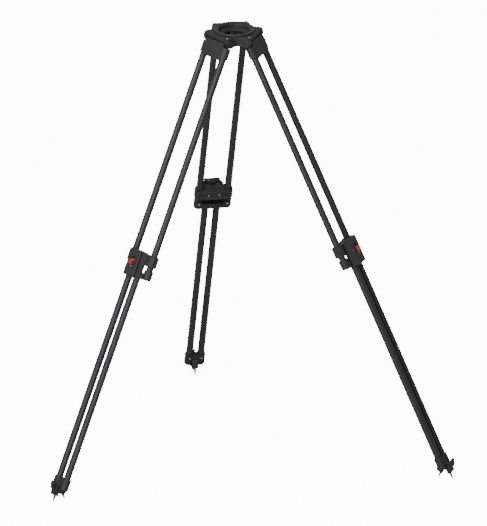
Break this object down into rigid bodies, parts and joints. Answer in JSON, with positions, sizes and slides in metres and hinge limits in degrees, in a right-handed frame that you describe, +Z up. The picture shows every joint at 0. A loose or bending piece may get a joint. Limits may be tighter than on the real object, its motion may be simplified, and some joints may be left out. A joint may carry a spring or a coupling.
{
  "type": "tripod",
  "caption": "Camera tripod legs: crown with bowl seat, twin-tube legs that fold and slide, lever clamps and spiked feet.",
  "frame": {"origin": "on the floor under the bowl's axis, with every foot's spikes on the floor", "axes": "+Z up along the bowl's axis, +Y out along leg 1, legs 2 and 3 at 120 degree steps"},
  "size_m": [1.2992, 1.1334, 1.423],
  "materials": {
    "cast_black": "satin black coating on cast alloy",
    "bowl_black": "satin black with a machined seat",
    "tube_black": "satin black anodised tube",
    "bush_polymer": "plain bearing polymer",
    "lever_red": "moulded red, semi gloss",
    "steel": "turned steel",
    "bright_steel": "bright plated steel"
  },
  "bodies": {
    "crown": {"crown_casting": "cast_black", "bowl_ring": "bowl_black", "hinge_axles": "steel", "hinge_caps": "cast_black", "hinge_screws": "bright_steel"},
    "leg_1_upper": {"leg_1_yoke": "cast_black", "leg_1_yoke_bushes": "bush_polymer", "leg_1_upper_tube_left": "tube_black", "leg_1_upper_tube_right": "tube_black", "leg_1_clamp_casting": "cast_black", "leg_1_clamp_cover": "cast_black", "leg_1_lower_bracket": "cast_black", "leg_1_tube_guides": "bush_polymer", "leg_1_clamp_screws": "bright_steel", "leg_1_lever_pin": "steel"},
    "leg_1_lower": {"leg_1_lower_tube_left": "tube_black", "leg_1_lower_tube_right": "tube_black", "leg_1_foot_casting": "cast_black", "leg_1_foot_spikes": "steel", "leg_1_foot_screws": "bright_steel"},
    "leg_1_lever": {"leg_1_clamp_lever": "lever_red"},
    "leg_1_shoe": {"leg_1_clamp_shoe": "bush_polymer"},
    "leg_1_knob": {"leg_1_adjuster_knob": "steel"},
    "leg_2_upper": {"leg_2_yoke": "cast_black", "leg_2_yoke_bushes": "bush_polymer", "leg_2_upper_tube_left": "tube_black", "leg_2_upper_tube_right": "tube_black", "leg_2_clamp_casting": "cast_black", "leg_2_clamp_cover": "cast_black", "leg_2_lower_bracket": "cast_black", "leg_2_tube_guides": "bush_polymer", "leg_2_clamp_screws": "bright_steel", "leg_2_lever_pin": "steel"},
    "leg_2_lower": {"leg_2_lower_tube_left": "tube_black", "leg_2_lower_tube_right": "tube_black", "leg_2_foot_casting": "cast_black", "leg_2_foot_spikes": "steel", "leg_2_foot_screws": "bright_steel"},
    "leg_2_lever": {"leg_2_clamp_lever": "lever_red"},
    "leg_2_shoe": {"leg_2_clamp_shoe": "bush_polymer"},
    "leg_2_knob": {"leg_2_adjuster_knob": "steel"},
    "leg_3_upper": {"leg_3_yoke": "cast_black", "leg_3_yoke_bushes": "bush_polymer", "leg_3_upper_tube_left": "tube_black", "leg_3_upper_tube_right": "tube_black", "leg_3_clamp_casting": "cast_black", "leg_3_clamp_cover": "cast_black", "leg_3_lower_bracket": "cast_black", "leg_3_tube_guides": "bush_polymer", "leg_3_clamp_screws": "bright_steel", "leg_3_lever_pin": "steel"},
    "leg_3_lower": {"leg_3_lower_tube_left": "tube_black", "leg_3_lower_tube_right": "tube_black", "leg_3_foot_casting": "cast_black", "leg_3_foot_spikes": "steel", "leg_3_foot_screws": "bright_steel"},
    "leg_3_lever": {"leg_3_clamp_lever": "lever_red"},
    "leg_3_shoe": {"leg_3_clamp_shoe": "bush_polymer"},
    "leg_3_knob": {"leg_3_adjuster_knob": "steel"}
  },
  "joints": [
    {"name": "leg_1_swing", "type": "hinge", "parent": "crown", "child": "leg_1_upper", "pos_m": [0, 0.0615, 1.401], "axis": [1, 0, 0], "range_deg": [-25, 10]},
    {"name": "leg_1_extend", "type": "slide", "parent": "leg_1_upper", "child": "leg_1_lower", "axis": [0, -0.4226, 0.9063], "range_m": [0, 0.62]},
    {"name": "leg_1_lever_turn", "type": "hinge", "parent": "leg_1_upper", "child": "leg_1_lever", "pos_m": [0, 0.4129, 0.73733], "axis": [1, 0, 0], "range_deg": [0, 80]},
    {"name": "leg_1_shoe_press", "type": "slide", "parent": "leg_1_upper", "child": "leg_1_shoe", "axis": [0, 0.9063, 0.4226], "range_m": [0, 0.0005]},
    {"name": "leg_1_knob_turn", "type": "hinge", "parent": "leg_1_upper", "child": "leg_1_knob", "pos_m": [-0.0115, 0.39387, 0.76773], "axis": [0, -0.4226, 0.9063], "continuous": true},
    {"name": "leg_2_swing", "type": "hinge", "parent": "crown", "child": "leg_2_upper", "pos_m": [-0.05326, -0.03075, 1.401], "axis": [-0.5, 0.866, 0], "range_deg": [-25, 10]},
    {"name": "leg_2_extend", "type": "slide", "parent": "leg_2_upper", "child": "leg_2_lower", "axis": [0.366, 0.2113, 0.9063], "range_m": [0, 0.62]},
    {"name": "leg_2_lever_turn", "type": "hinge", "parent": "leg_2_upper", "child": "leg_2_lever", "pos_m": [-0.35758, -0.20645, 0.73733], "axis": [-0.5, 0.866, 0], "range_deg": [0, 80]},
    {"name": "leg_2_shoe_press", "type": "slide", "parent": "leg_2_upper", "child": "leg_2_shoe", "axis": [-0.7849, -0.4532, 0.4226], "range_m": [0, 0.0005]},
    {"name": "leg_2_knob_turn", "type": "hinge", "parent": "leg_2_upper", "child": "leg_2_knob", "pos_m": [-0.33535, -0.20689, 0.76773], "axis": [0.366, 0.2113, 0.9063], "continuous": true},
    {"name": "leg_3_swing", "type": "hinge", "parent": "crown", "child": "leg_3_upper", "pos_m": [0.05326, -0.03075, 1.401], "axis": [-0.5, -0.866, 0], "range_deg": [-25, 10]},
    {"name": "leg_3_extend", "type": "slide", "parent": "leg_3_upper", "child": "leg_3_lower", "axis": [-0.366, 0.2113, 0.9063], "range_m": [0, 0.62]},
    {"name": "leg_3_lever_turn", "type": "hinge", "parent": "leg_3_upper", "child": "leg_3_lever", "pos_m": [0.35758, -0.20645, 0.73733], "axis": [-0.5, -0.866, 0], "range_deg": [0, 80]},
    {"name": "leg_3_shoe_press", "type": "slide", "parent": "leg_3_upper", "child": "leg_3_shoe", "axis": [0.7849, -0.4532, 0.4226], "range_m": [0, 0.0005]},
    {"name": "leg_3_knob_turn", "type": "hinge", "parent": "leg_3_upper", "child": "leg_3_knob", "pos_m": [0.34685, -0.18698, 0.76773], "axis": [-0.366, 0.2113, 0.9063], "continuous": true}
  ],
  "couplings": [
    {"joint": "leg_1_lever_turn", "follows": "leg_1_shoe_press", "rad_per_m": 2792.5},
    {"joint": "leg_2_lever_turn", "follows": "leg_2_shoe_press", "rad_per_m": 2792.5},
    {"joint": "leg_3_lever_turn", "follows": "leg_3_shoe_press", "rad_per_m": 2792.5}
  ]
}
